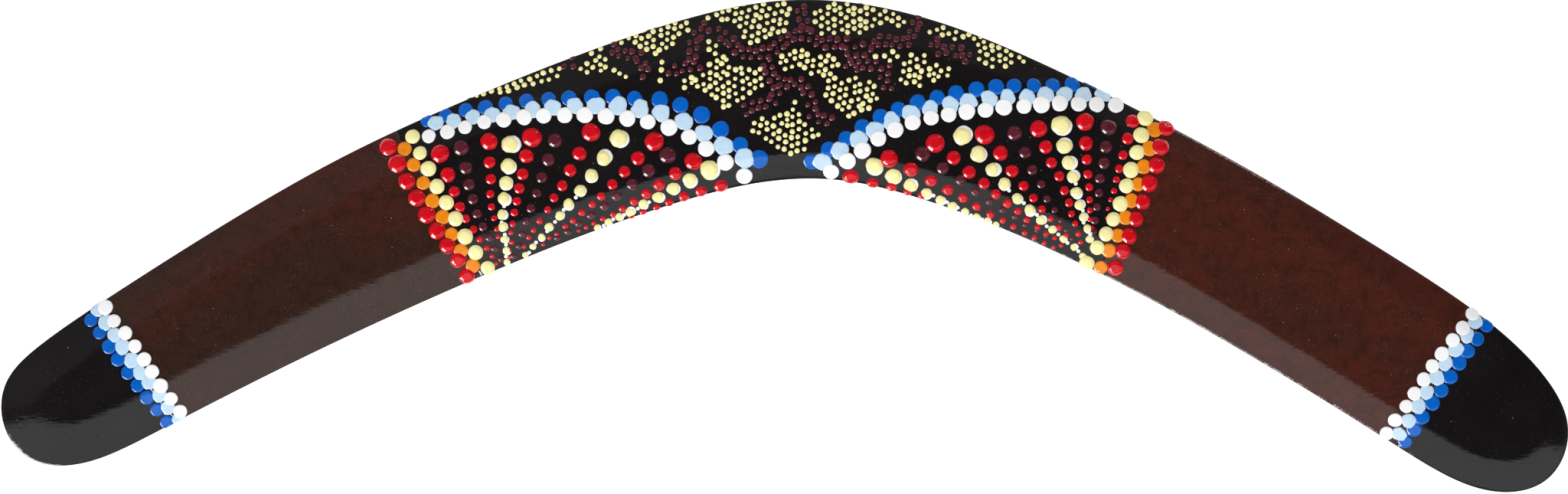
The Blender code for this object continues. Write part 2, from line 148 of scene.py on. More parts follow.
# Rows of drops: number of drops, first and last diameter, and the points that the row passes
DROP_ROWS = {
    ("left_tip", "blue"): (9, 0.0042, 0.0040, [
        (-0.1983, -0.0211), (-0.1906, -0.0320), (-0.1821, -0.0433), (-0.1763, -0.0503)]),
    ("left_tip", "light_blue"): (10, 0.0044, 0.0042, [
        (-0.1963, -0.0180), (-0.1895, -0.0283), (-0.1802, -0.0406), (-0.1735, -0.0495)]),
    ("left_tip", "white"): (9, 0.0042, 0.0040, [
        (-0.1942, -0.0178), (-0.1855, -0.0286), (-0.1778, -0.0402), (-0.1728, -0.0472)]),
    ("left_end", "red"): (9, 0.0053, 0.0045, [
        (-0.1134, 0.0286), (-0.1046, 0.0130), (-0.0958, -0.0006), (-0.0907, -0.0085)]),
    ("left_end", "orange"): (8, 0.0043, 0.0041, [
        (-0.1085, 0.0279), (-0.1000, 0.0123), (-0.0923, -0.0015), (-0.0892, -0.0057)]),
    ("left_end", "yellow"): (9, 0.0042, 0.0044, [
        (-0.1065, 0.0312), (-0.0986, 0.0161), (-0.0903, 0.0013), (-0.0848, -0.0061)]),
    ("left_arc", "blue"): (17, 0.0041, 0.0051, [
        (-0.1024, 0.0361), (-0.0817, 0.0405), (-0.0565, 0.0424), (-0.0299, 0.0402), (-0.0072, 0.0246)]),
    ("left_arc", "light_blue"): (16, 0.0044, 0.0056, [
        (-0.1000, 0.0350), (-0.0793, 0.0380), (-0.0558, 0.0400), (-0.0338, 0.0376), (-0.0116, 0.0250)]),
    ("left_arc", "white"): (17, 0.0041, 0.0049, [
        (-0.1017, 0.0312), (-0.0808, 0.0358), (-0.0567, 0.0372), (-0.0316, 0.0332), (-0.0118, 0.0202)]),
    ("right_arc", "blue"): (16, 0.0048, 0.0044, [
        (0.0077, 0.0242), (0.0292, 0.0376), (0.0525, 0.0442), (0.0701, 0.0457), (0.0875, 0.0460)]),
    ("right_arc", "light_blue"): (16, 0.0052, 0.0047, [
        (0.0108, 0.0240), (0.0310, 0.0358), (0.0530, 0.0412), (0.0727, 0.0428), (0.0908, 0.0430)]),
    ("right_arc", "white"): (17, 0.0047, 0.0046, [
        (0.0132, 0.0213), (0.0336, 0.0341), (0.0567, 0.0389), (0.0780, 0.0405), (0.0945, 0.0402)]),
    ("right_end", "yellow"): (10, 0.0046, 0.0042, [
        (0.1031, 0.0365), (0.0989, 0.0216), (0.0934, 0.0064), (0.0864, -0.0046)]),
    ("right_end", "orange"): (9, 0.0044, 0.0041, [
        (0.1055, 0.0332), (0.1018, 0.0205), (0.0969, 0.0073), (0.0903, -0.0059)]),
    ("right_end", "red"): (9, 0.0051, 0.0044, [
        (0.1090, 0.0336), (0.1048, 0.0196), (0.1007, 0.0086), (0.0945, -0.0063)]),
    ("right_tip", "white"): (10, 0.0041, 0.0039, [
        (0.1962, -0.0196), (0.1880, -0.0300), (0.1801, -0.0416), (0.1722, -0.0534)]),
    ("right_tip", "light_blue"): (9, 0.0046, 0.0043, [
        (0.1975, -0.0216), (0.1896, -0.0321), (0.1822, -0.0438), (0.1755, -0.0538)]),
    ("right_tip", "blue"): (10, 0.0042, 0.0042, [
        (0.2005, -0.0226), (0.1926, -0.0336), (0.1841, -0.0458), (0.1772, -0.0562)]),
}

# Fans: colour, number of drops, first and last diameter, and the points that the spoke passes
LEFT_FAN = [
    ("red", 10, 0.0053, 0.0013, [(-0.0982, 0.0264), (-0.0923, 0.0104), (-0.0824, -0.0050)]),
    ("maroon", 9, 0.0042, 0.0020, [(-0.0923, 0.0277), (-0.0877, 0.0095), (-0.0811, -0.0037)]),
    ("red", 8, 0.0048, 0.0013, [(-0.0844, 0.0299), (-0.0839, 0.0132), (-0.0817, 0.0024)]),
    ("yellow", 9, 0.0053, 0.0020, [(-0.0782, 0.0288), (-0.0804, 0.0097), (-0.0793, -0.0044)]),
    ("red", 11, 0.0053, 0.0011, [(-0.0721, 0.0310), (-0.0771, 0.0101), (-0.0786, -0.0033)]),
    ("maroon", 9, 0.0042, 0.0018, [(-0.0657, 0.0301), (-0.0716, 0.0132), (-0.0771, -0.0033)]),
    ("red", 10, 0.0053, 0.0013, [(-0.0554, 0.0323), (-0.0659, 0.0134), (-0.0747, -0.0002)]),
    ("yellow", 10, 0.0053, 0.0018, [(-0.0474, 0.0306), (-0.0622, 0.0112), (-0.0745, -0.0024)]),
    ("red", 12, 0.0053, 0.0011, [(-0.0371, 0.0299), (-0.0549, 0.0121), (-0.0690, 0.0005)]),
    ("maroon", 9, 0.0046, 0.0018, [(-0.0336, 0.0257), (-0.0499, 0.0128), (-0.0650, 0.0020)]),
    ("red", 11, 0.0051, 0.0011, [(-0.0261, 0.0242), (-0.0455, 0.0112), (-0.0591, 0.0042)]),
    ("yellow", 9, 0.0053, 0.0020, [(-0.0213, 0.0218), (-0.0389, 0.0126), (-0.0536, 0.0053)]),
    ("red", 7, 0.0042, 0.0018, [(-0.0182, 0.0172), (-0.0314, 0.0128), (-0.0437, 0.0086)]),
]
RIGHT_FAN = [
    ("red", 5, 0.0044, 0.0022, [(0.0191, 0.0196), (0.0301, 0.0169), (0.0391, 0.0143)]),
    ("yellow", 10, 0.0053, 0.0018, [(0.0255, 0.0229), (0.0435, 0.0134), (0.0609, 0.0060)]),
    ("red", 13, 0.0051, 0.0013, [(0.0299, 0.0253), (0.0569, 0.0101), (0.0767, -0.0004)]),
    ("maroon", 10, 0.0044, 0.0013, [(0.0394, 0.0264), (0.0587, 0.0126), (0.0747, 0.0027)]),
    ("red", 12, 0.0053, 0.0013, [(0.0431, 0.0295), (0.0635, 0.0123), (0.0791, 0.0002)]),
    ("yellow", 11, 0.0053, 0.0020, [(0.0506, 0.0315), (0.0679, 0.0123), (0.0851, -0.0028)]),
    ("red", 9, 0.0055, 0.0015, [(0.0571, 0.0319), (0.0703, 0.0145), (0.0802, 0.0029)]),
    ("maroon", 9, 0.0044, 0.0013, [(0.0657, 0.0323), (0.0741, 0.0154), (0.0820, 0.0020)]),
    ("red", 10, 0.0048, 0.0015, [(0.0723, 0.0334), (0.0800, 0.0150), (0.0846, 0.0011)]),
    ("yellow", 10, 0.0053, 0.0020, [(0.0787, 0.0343), (0.0835, 0.0141), (0.0881, -0.0008)]),
    ("red", 9, 0.0051, 0.0013, [(0.0857, 0.0354), (0.0866, 0.0191), (0.0875, 0.0051)]),
    ("maroon", 8, 0.0044, 0.0020, [(0.0925, 0.0339), (0.0899, 0.0172), (0.0881, 0.0042)]),
    ("red", 9, 0.0044, 0.0011, [(0.0993, 0.0356), (0.0945, 0.0185), (0.0919, 0.0082)]),
]

# White paint at the fans' yellow drops: a disc that shows beside each, and small drops between them
TOUCH_SHARE = 0.98          # size of the disc, as a share of the yellow drop's
TOUCH_REACH = (0.12, 0.34)  # how far off its middle the disc lies, as a share of its radius
TOUCH_TURN = (-1.4, 1.0)    # and in which direction, in radians from +X
BETWEEN_RADIUS = 0.00055
BETWEEN_SHIFT = 0.0003      # how far a small white drop is out of place

# Field of small drops over the elbow: outlines of the yellow patches, and middle lines of the trails
YELLOW_DROP = 0.00140       # diameters
MAROON_DROP = 0.00172
FIELD_JITTER = 0.11         # how far a drop is out of place, as a share of its size
YELLOW_PITCH = 0.00212
PATCH_GROWTH = 1.12         # how far a patch's drops reach past its outline
MAROON_PITCH = 0.00108      # along a trail, from a drop on one side to the next on the other
MAROON_HALF_WIDTH = 0.00105
PATCH_SLANT = (0.2, 0.7)    # angle of a patch's rows to X, in radians
PATCH_ROWS = 12             # rows each way from a patch's middle that its outline is filled from
YELLOW_PATCHES = [
    [(-0.0470, 0.0585), (-0.0415, 0.0610), (-0.0340, 0.0640), (-0.0270, 0.0640), (-0.0275, 0.0620),
     (-0.0325, 0.0575), (-0.0345, 0.0565), (-0.0395, 0.0565)],
    [(-0.0595, 0.0490), (-0.0545, 0.0550), (-0.0525, 0.0560), (-0.0505, 0.0520), (-0.0480, 0.0500),
     (-0.0445, 0.0505), (-0.0445, 0.0480), (-0.0490, 0.0490), (-0.0560, 0.0495)],
    [(-0.0215, 0.0655), (-0.0160, 0.0675), (-0.0095, 0.0690), (-0.0015, 0.0690), (0.0005, 0.0680),
     (0.0000, 0.0620), (-0.0030, 0.0610), (-0.0035, 0.0590), (-0.0110, 0.0585), (-0.0140, 0.0635),
     (-0.0175, 0.0640)],
    [(-0.0305, 0.0455), (-0.0265, 0.0480), (-0.0215, 0.0500), (-0.0210, 0.0530), (-0.0220, 0.0560),
     (-0.0210, 0.0580), (-0.0160, 0.0530), (-0.0145, 0.0510), (-0.0080, 0.0505), (-0.0070, 0.0475),
     (-0.0075, 0.0445), (-0.0125, 0.0425), (-0.0145, 0.0400), (-0.0165, 0.0390), (-0.0190, 0.0415),
     (-0.0245, 0.0440)],
    [(0.0025, 0.0415), (0.0045, 0.0380), (0.0055, 0.0355), (0.0100, 0.0335), (0.0055, 0.0290),
     (0.0035, 0.0265), (0.0005, 0.0260), (-0.0015, 0.0285), (-0.0085, 0.0325), (-0.0090, 0.0345),
     (-0.0075, 0.0370), (-0.0010, 0.0370), (0.0010, 0.0395)],
    [(-0.0010, 0.0525), (0.0000, 0.0545), (0.0055, 0.0570), (0.0080, 0.0555), (0.0090, 0.0535),
     (0.0135, 0.0545), (0.0160, 0.0520), (0.0140, 0.0485), (0.0240, 0.0475), (0.0255, 0.0420),
     (0.0195, 0.0385), (0.0160, 0.0380), (0.0120, 0.0420), (0.0100, 0.0435), (0.0105, 0.0455),
     (0.0125, 0.0475), (0.0080, 0.0480), (0.0055, 0.0500), (0.0005, 0.0500)],
    [(0.0080, 0.0655), (0.0125, 0.0695), (0.0200, 0.0695), (0.0270, 0.0675), (0.0335, 0.0655),
     (0.0325, 0.0625), (0.0255, 0.0635), (0.0215, 0.0600), (0.0185, 0.0615), (0.0150, 0.0600),
     (0.0120, 0.0605), (0.0105, 0.0630)],
    [(0.0330, 0.0505), (0.0355, 0.0550), (0.0405, 0.0540), (0.0415, 0.0520), (0.0470, 0.0515),
     (0.0475, 0.0495), (0.0405, 0.0470), (0.0385, 0.0455), (0.0350, 0.0460), (0.0335, 0.0480)],
    [(0.0415, 0.0620), (0.0435, 0.0630), (0.0500, 0.0615), (0.0560, 0.0595), (0.0490, 0.0585),
     (0.0420, 0.0605)],
    [(0.0555, 0.0580), (0.0580, 0.0585), (0.0640, 0.0555), (0.0710, 0.0530), (0.0665, 0.0520),
     (0.0575, 0.0515), (0.0560, 0.0535)],
]
YELLOW_TRAILS = [
    [(-0.0905, 0.0424), (-0.0846, 0.0440), (-0.0782, 0.0460), (-0.0714, 0.0484), (-0.0646, 0.0510)],
    [(-0.0813, 0.0437), (-0.0736, 0.0462), (-0.0679, 0.0474), (-0.0650, 0.0486)],
    [(-0.0367, 0.0550), (-0.0349, 0.0521), (-0.0356, 0.0490), (-0.0356, 0.0473)],
    [(0.0259, 0.0541), (0.0286, 0.0543), (0.0314, 0.0554), (0.0323, 0.0539), (0.0303, 0.0528)],
]
MAROON_TRAILS = [
    [(-0.0622, 0.0508), (-0.0600, 0.0530)],
    [(-0.0499, 0.0569), (-0.0477, 0.0552), (-0.0450, 0.0545), (-0.0417, 0.0545), (-0.0406, 0.0521),
     (-0.0393, 0.0490)],
    [(-0.0325, 0.0484), (-0.0301, 0.0506), (-0.0268, 0.0512), (-0.0244, 0.0517)],
    [(-0.0263, 0.0532), (-0.0261, 0.0565), (-0.0257, 0.0596), (-0.0231, 0.0613), (-0.0217, 0.0631)],
    [(-0.0191, 0.0609), (-0.0165, 0.0596), (-0.0145, 0.0574), (-0.0129, 0.0552), (-0.0094, 0.0550),
     (-0.0057, 0.0552), (-0.0031, 0.0561), (0.0000, 0.0587), (0.0029, 0.0600), (0.0055, 0.0611),
     (0.0055, 0.0640), (0.0046, 0.0666), (0.0042, 0.0684)],
    [(-0.0053, 0.0530), (-0.0046, 0.0508), (-0.0037, 0.0481), (-0.0002, 0.0464), (0.0038, 0.0468),
     (0.0055, 0.0455), (0.0064, 0.0429)],
    [(-0.0020, 0.0460), (-0.0024, 0.0433), (-0.0042, 0.0411), (-0.0072, 0.0407), (-0.0103, 0.0398),
     (-0.0116, 0.0385)],
    [(0.0077, 0.0413), (0.0077, 0.0383), (0.0095, 0.0367), (0.0134, 0.0358)],
    [(0.0068, 0.0605), (0.0092, 0.0585), (0.0130, 0.0578), (0.0178, 0.0578), (0.0191, 0.0552),
     (0.0196, 0.0525), (0.0183, 0.0510), (0.0218, 0.0517), (0.0259, 0.0514)],
    [(0.0238, 0.0550), (0.0235, 0.0574), (0.0262, 0.0580), (0.0288, 0.0587), (0.0323, 0.0583),
     (0.0354, 0.0585), (0.0367, 0.0609), (0.0376, 0.0635), (0.0391, 0.0648)],
    [(0.0290, 0.0517), (0.0284, 0.0492), (0.0286, 0.0471), (0.0297, 0.0446)],
    [(0.0424, 0.0589), (0.0437, 0.0563), (0.0473, 0.0558), (0.0510, 0.0552), (0.0525, 0.0530)],
]

# Colours, linear RGB
BLACK = (0.0075, 0.0062, 0.0068)
BROWN_DARK = (0.033, 0.0152, 0.0105)
BROWN_RED = (0.062, 0.0145, 0.0095)
BLUE = (0.0015, 0.105, 0.480)
LIGHT_BLUE = (0.49, 0.655, 0.81)
WHITE = (0.84, 0.84, 0.85)
RED = (0.56, 0.0030, 0.0100)
ORANGE = (0.75, 0.225, 0.0075)
YELLOW = (0.85, 0.79, 0.36)
MAROON = (0.090, 0.0125, 0.0220)
WOOD_LIGHT = (0.42, 0.25, 0.12)
WOOD_DARK = (0.22, 0.11, 0.045)
FLOOR = (0.80, 0.80, 0.80)
DUST_ON_BLACK = (0.030, 0.030, 0.032)
DUST_ON_BROWN = (0.085, 0.060, 0.050)

# Camera and lights
LENS = 100.0                # mm, on a sensor 36 mm wide
SENSOR = 36.0
VIEW_WIDTH = 0.4486         # metres across the picture at the height of the rim
VIEW_CENTRE = (-0.0002, -0.0003)
ARM_SLOPE = math.radians(27)    # angle of each arm to the X axis
LIGHT_DISTANCE = 1.6        # from the middle of the blade
FLOOR_HALF = 6.0
FLOOR_DROP = 0.0002         # the floor lies this far below the back
FLOOR_GLOW = 0.90

# Studio walls, by how much a direction points towards them, from 0 to 1: begin, full and brightness
FRONT_PANEL = (0.185, 0.225, 0.95)  # towards -Y
FRONT_FADE = (0.76, 0.86, 0.65)     # brightness that the front loses further down
BACK_PANEL = (0.58, 0.72, 0.36)     # towards +Y
BACK_GLOW = (0.28, 0.42, 0.15)      # towards +Y and the left
GLOW_LEAN = -0.6
SIDE_PANELS = (0.74, 0.90, 0.16)    # towards either side
SKIRTING = (0.15, 0.60, 0.80)       # upwards: the walls darken towards the floor, to the base
SKIRTING_BASE = 0.20
CEILING = 0.015


def seeded(name):
    """Random generator that always gives one piece the same numbers."""
    return np.random.default_rng(zlib.crc32(name.encode()))


def unit(vectors):
    return vectors / np.linalg.norm(vectors, axis=-1, keepdims=True)


def smoothstep(values, span):
    """Smooth rise from 0 to 1 over a span of values."""
    share = np.clip((values - span[0]) / (span[1] - span[0]), 0.0, 1.0)
    return share * share * (3 - 2 * share)


def places_along(line, shares):
    """Points at the given shares of a line's length."""
    length = np.concatenate([[0.0], np.cumsum(np.linalg.norm(np.diff(line, axis=0), axis=1))])
    return np.column_stack([np.interp(shares * length[-1], length, column) for column in line.T])


# The blade's shape


def rim_point(place):
    """Point of the closed cubic B-spline at a place counted in control points."""
    first = math.floor(place)
    t = place - first
    a, b, c, d = (np.array(RIM_CONTROLS[(first + step) % len(RIM_CONTROLS)]) for step in (-1, 0, 1, 2))
    return (a * (1 - t) ** 3 + b * (3 * t ** 3 - 6 * t ** 2 + 4)
            + c * (-3 * t ** 3 + 3 * t ** 2 + 3 * t + 1) + d * t ** 3) / 6


def rim_line():
    """The rim as a fine closed line centred on its box, with its places and outward normals."""
    places = np.arange(0, len(RIM_CONTROLS), 1 / RIM_FINENESS)
    line = np.array([rim_point(place) for place in places])
    line -= (line.min(axis=0) + line.max(axis=0)) / 2
    along = unit(np.roll(line, -1, axis=0) - np.roll(line, 1, axis=0))
    return places, line, np.column_stack([along[:, 1], -along[:, 0]])


RIM_PLACES, RIM, RIM_OUTWARD = rim_line()
RIM_STEP = np.linalg.norm(np.roll(RIM, -1, axis=0) - np.roll(RIM, 1, axis=0), axis=1) / 2


def squared_to_rim(points):
    """Squared distances from a chunk of points at a time to every point of the rim."""
    for start in range(0, len(points), CHUNK):
        yield ((points[start:start + CHUNK, None] - RIM[None]) ** 2).sum(axis=2)


def nearest_rim(points):
    """Signed distance inwards from the rim, and the nearest rim point with its outward normal."""
    index = np.concatenate([squared.argmin(axis=1) for squared in squared_to_rim(points)])
    outward = RIM_OUTWARD[index]
    depth = -((points - RIM[index]) * outward).sum(axis=1)
    return depth, points + outward * depth[:, None], outward


def smooth_distance(points):
    """Distance from the rim that merges the bevels of all sides, for points away from the rim."""
    total = np.concatenate([(RIM_STEP / squared ** 3).sum(axis=1) for squared in squared_to_rim(points)])
    return (8 / (3 * math.pi) * total) ** -0.2


def front_height(points):
    """Height of the painted front over each point inside the rim."""
    depth, _, _ = nearest_rim(points)
    distance = depth + smoothstep(depth, CREST_SPAN) * (smooth_distance(points) - depth)
    at_elbow = np.exp(-(points[:, 0] / ELBOW_SPAN) ** 2) * (points[:, 1] < ELBOW_MIDDLE)
    distance *= 1 + ELBOW_PINCH * at_elbow + RIGHT_PINCH * smoothstep(points[:, 0], RIGHT_PINCH_SPAN)
    rounding = np.clip(distance - BEVEL_FLAT, 0.0, BEVEL_REACH - BEVEL_FLAT)
    run = np.minimum(distance, BEVEL_FLAT) + rounding - rounding ** 2 / (2 * (BEVEL_REACH - BEVEL_FLAT))
    return EDGE_HEIGHT + BEVEL_SLOPE * run


def height_map():
    """Heights on a square grid that reaches a little past the rim."""
    low = RIM.min(axis=0) - MAP_MARGIN
    counts = np.ceil((RIM.max(axis=0) + MAP_MARGIN - low) / HEIGHT_GRID).astype(int) + 1
    x = low[0] + HEIGHT_GRID * np.arange(counts[0])
    y = low[1] + HEIGHT_GRID * np.arange(counts[1])
    points = np.stack(np.meshgrid(x, y, indexing="ij"), axis=-1)
    heights = front_height(points.reshape(-1, 2)).reshape(counts)
    slopes = np.stack(np.gradient(heights, HEIGHT_GRID), axis=-1)
    return low, heights, slopes


MAP_LOW, MAP_HEIGHTS, MAP_SLOPES = height_map()


def on_map(values, points):
    """Values of a grid at points, interpolated between its four neighbours."""
    place = (points - MAP_LOW) / HEIGHT_GRID
    cell = np.floor(place).astype(int)
    x, y = (place - cell).T
    if values.ndim == 3:
        x, y = x[:, None], y[:, None]
    i, j = cell.T
    return ((values[i, j] * (1 - x) + values[i + 1, j] * x) * (1 - y)
            + (values[i, j + 1] * (1 - x) + values[i + 1, j + 1] * x) * y)


EDGE_SLOPE = math.atan(BEVEL_SLOPE)
ARRIS_DEPTH = ARRIS_RADIUS * (1 - math.sin(EDGE_SLOPE))
ARRIS_CENTRE = EDGE_HEIGHT + ARRIS_DEPTH * math.tan(EDGE_SLOPE) - ARRIS_RADIUS * math.cos(EDGE_SLOPE)
ARRIS_LENGTH = ARRIS_RADIUS * (math.pi / 2 - EDGE_SLOPE)


def seat(points):
    """Places on the painted surface under the given plan points, and the normals there.

    Points past the rim wrap round its rounded edge and down its wall, as wet paint does.
    """
    heights = on_map(MAP_HEIGHTS, points)
    places = np.column_stack([points, heights])
    normals = unit(np.column_stack([-on_map(MAP_SLOPES, points), np.ones(len(points))]))
    near = np.flatnonzero(heights < EDGE_HEIGHT + EDGE_ZONE)
    if len(near) == 0:
        return places, normals
    depth, feet, outward = nearest_rim(points[near])
    past = np.flatnonzero(depth < ARRIS_DEPTH)
    walked = (ARRIS_DEPTH - depth[past]) / math.cos(EDGE_SLOPE)
    angle = EDGE_SLOPE + np.minimum(walked, ARRIS_LENGTH) / ARRIS_RADIUS
    inside = ARRIS_RADIUS * (1 - np.sin(angle))
    height = ARRIS_CENTRE + ARRIS_RADIUS * np.cos(angle) - np.maximum(walked - ARRIS_LENGTH, 0.0)
    away = outward[past]
    places[near[past]] = np.column_stack([feet[past] - away * inside[:, None], height])
    normals[near[past]] = np.column_stack([away * np.sin(angle)[:, None], np.cos(angle)])
    return places, normals


def rim_side(start, end, count):
    """Evenly spaced points along one side of the front's edge, where the arris begins."""
    places = np.linspace(start, end, 6 * count)
    edge = RIM - RIM_OUTWARD * ARRIS_DEPTH
    side = [np.interp(places, RIM_PLACES, column, period=len(RIM_CONTROLS)) for column in edge.T]
    return places_along(np.column_stack(side), np.linspace(0, 1, count))


def front_grid():
    """Plan points of the front, blended between the four sides of the rim: [along, across, xy]."""
    outer = rim_side(CORNER_OUTER_LEFT, CORNER_OUTER_RIGHT, STEPS_ALONG + 1)
    inner = rim_side(CORNER_INNER_LEFT, CORNER_INNER_RIGHT, STEPS_ALONG + 1)
    left = rim_side(CORNER_OUTER_LEFT, CORNER_INNER_LEFT, STEPS_ACROSS + 1)
    right = rim_side(CORNER_OUTER_RIGHT + len(RIM_CONTROLS), CORNER_INNER_RIGHT, STEPS_ACROSS + 1)
    u = np.linspace(0, 1, STEPS_ALONG + 1)[:, None, None]
    v = np.linspace(0, 1, STEPS_ACROSS + 1)[None, :, None]
    between_sides = (1 - v) * outer[:, None] + v * inner[:, None]
    between_tips = (1 - u) * left[None] + u * right[None]
    corners = (1 - v) * ((1 - u) * outer[0] + u * outer[-1]) + v * ((1 - u) * inner[0] + u * inner[-1])
    return between_sides + between_tips - corners


def blade_skin(depth, section):
    """Sheet over the front and down the rim, sunk by depth below the painted surface.

    section lists (inset from the rim, height) pairs that carry the sheet on down from the front's edge.
    """
    grid = front_grid()
    plan = grid.reshape(-1, 2)
    points = np.column_stack([plan, front_height(plan)])
    along, across = np.gradient(points.reshape(*grid.shape[:2], 3), axis=(0, 1))
    points -= unit(np.cross(across, along)).reshape(-1, 3) * depth
    index = np.arange(len(plan)).reshape(grid.shape[:2])
    corners = [index[:-1, :-1], index[:-1, 1:], index[1:, 1:], index[1:, :-1]]
    faces = np.stack(corners, axis=-1).reshape(-1, 4).tolist()
    loop = np.concatenate([index[:-1, 0], index[-1, :-1], index[:0:-1, -1], index[0, :0:-1]])
    _, feet, outward = nearest_rim(plan[loop])
    rings = [loop]
    for inset, height in section:
        ring = np.column_stack([feet - outward * (inset + depth), np.broadcast_to(height, len(loop))])
        rings.append(len(points) + np.arange(len(loop)))
        points = np.vstack([points, ring])
    for upper, lower in zip(rings, rings[1:]):
        faces += np.column_stack([upper, np.roll(upper, -1), np.roll(lower, -1), lower]).tolist()
    return points, faces, rings[-1]


def arris_section():
    """Insets and heights round the arris, from the front's edge to the wall."""
    angles = np.linspace(EDGE_SLOPE, math.pi / 2, SECTION_STEPS + 1)[1:]
    return [(ARRIS_RADIUS * (1 - math.sin(angle)), ARRIS_CENTRE + ARRIS_RADIUS * math.cos(angle))
            for angle in angles]


# Pieces


def add_piece(name, points, faces, finish):
    """Named mesh object that rides with the boomerang."""
    mesh = bpy.data.meshes.new(name)
    mesh.from_pydata(np.asarray(points).tolist(), [], faces)
    mesh.materials.append(finish)
    mesh.validate()
    piece = bpy.data.objects.new(name, mesh)
    bpy.context.scene.collection.objects.link(piece)
    mesh.shade_smooth()
    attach(piece, "root")
    return piece


def face_outwards(piece):
    shape = bmesh.new()
    shape.from_mesh(piece.data)
    bmesh.ops.recalc_face_normals(shape, faces=shape.faces)
    shape.to_mesh(piece.data)
    shape.free()


def add_wood(finishes):
    """The carved blade: what shows of it is its back and a narrow band of its wall."""
    section = arris_section()
    middle = (0.0, (section[-1][1] + BACK_EDGE_ROUND) / 2)
    back = [(BACK_EDGE_ROUND * (1 - math.cos(angle)), BACK_EDGE_ROUND * (1 - math.sin(angle)))
            for angle in np.linspace(0, math.pi / 2, SECTION_STEPS + 1)]
    points, faces, foot = blade_skin(WOOD_DEPTH, section + [middle] + back)
    faces.append(foot.tolist())
    wood = add_piece("wood_body", points, faces, finishes["bare_wood"])
    face_outwards(wood)
    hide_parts("wood_blade")


def cut_sheet(sheet, line, keep_right):
    """Cut a sheet along an upright plane and keep one side."""
    outer, inner = (Vector((*end, 0.0)) for end in line)
    to_right = Vector((outer.y - inner.y, inner.x - outer.x, 0.0)).normalized()
    geometry = sheet.verts[:] + sheet.edges[:] + sheet.faces[:]
    bmesh.ops.bisect_plane(sheet, geom=geometry, dist=1e-7, plane_co=outer, plane_no=to_right,
                           clear_inner=keep_right, clear_outer=not keep_right)


def add_base_coats(finishes):
    """Films of lacquer or stain over the front and the rim, cut from one sheet that goes at the end."""
    section = arris_section()
    turn = np.linspace(0, 2 * math.pi, 2 * (STEPS_ALONG + STEPS_ACROSS), endpoint=False)
    wander = np.mean([np.sin(turn * waves + phase) for waves, phase in WANDER_WAVES], axis=0)
    bottom = COAT_BOTTOM + COAT_LINE_WANDER * wander
    wall = [(0.0, (section[-1][1] + COAT_BOTTOM) / 2), (0.0, bottom)]
    points, faces, _ = blade_skin(0.0, section + wall)
    whole = add_piece("whole_coat", points, faces, finishes["black_lacquer"])
    for name, (slot, left_line, right_line) in BASE_COATS.items():
        sheet = bmesh.new()
        sheet.from_mesh(whole.data)
        if left_line:
            cut_sheet(sheet, left_line, keep_right=True)
        if right_line:
            cut_sheet(sheet, right_line, keep_right=False)
        mesh = bpy.data.meshes.new(name + "_film")
        sheet.to_mesh(mesh)
        sheet.free()
        mesh.materials.append(finishes[slot])
        coat = bpy.data.objects.new(name + "_film", mesh)
        bpy.context.scene.collection.objects.link(coat)
        film = coat.modifiers.new("film", "SOLIDIFY")
        film.thickness = COAT_FILM
        film.offset = -1.0
        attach(coat, "root")
        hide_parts(name)
    bpy.data.objects.remove(whole, do_unlink=True)


# Drops of paint


def curve_points(controls):
    """Fine points on a smooth line through the controls (Catmull-Rom)."""
    controls = [np.array(point) for point in controls]
    controls = [2 * controls[0] - controls[1]] + controls + [2 * controls[-1] - controls[-2]]
    points = []
    for a, b, c, d in zip(controls, controls[1:], controls[2:], controls[3:]):
        for t in np.linspace(0, 1, CURVE_SAMPLES, endpoint=False):
            points.append(0.5 * (2 * b + (c - a) * t + (2 * a - 5 * b + 4 * c - d) * t ** 2
                                 + (3 * b - a - 3 * c + d) * t ** 3))
    points.append(controls[-2])
    return np.array(points)


def row_places(controls, radii, gap=0.0):
    """Centres along a row, spaced by the sizes of the drops and a gap between them."""
    gaps = radii[:-1] + radii[1:] + gap
    shares = np.concatenate([[0.0], np.cumsum(gaps)]) / gaps.sum()
    return places_along(curve_points(controls), shares)


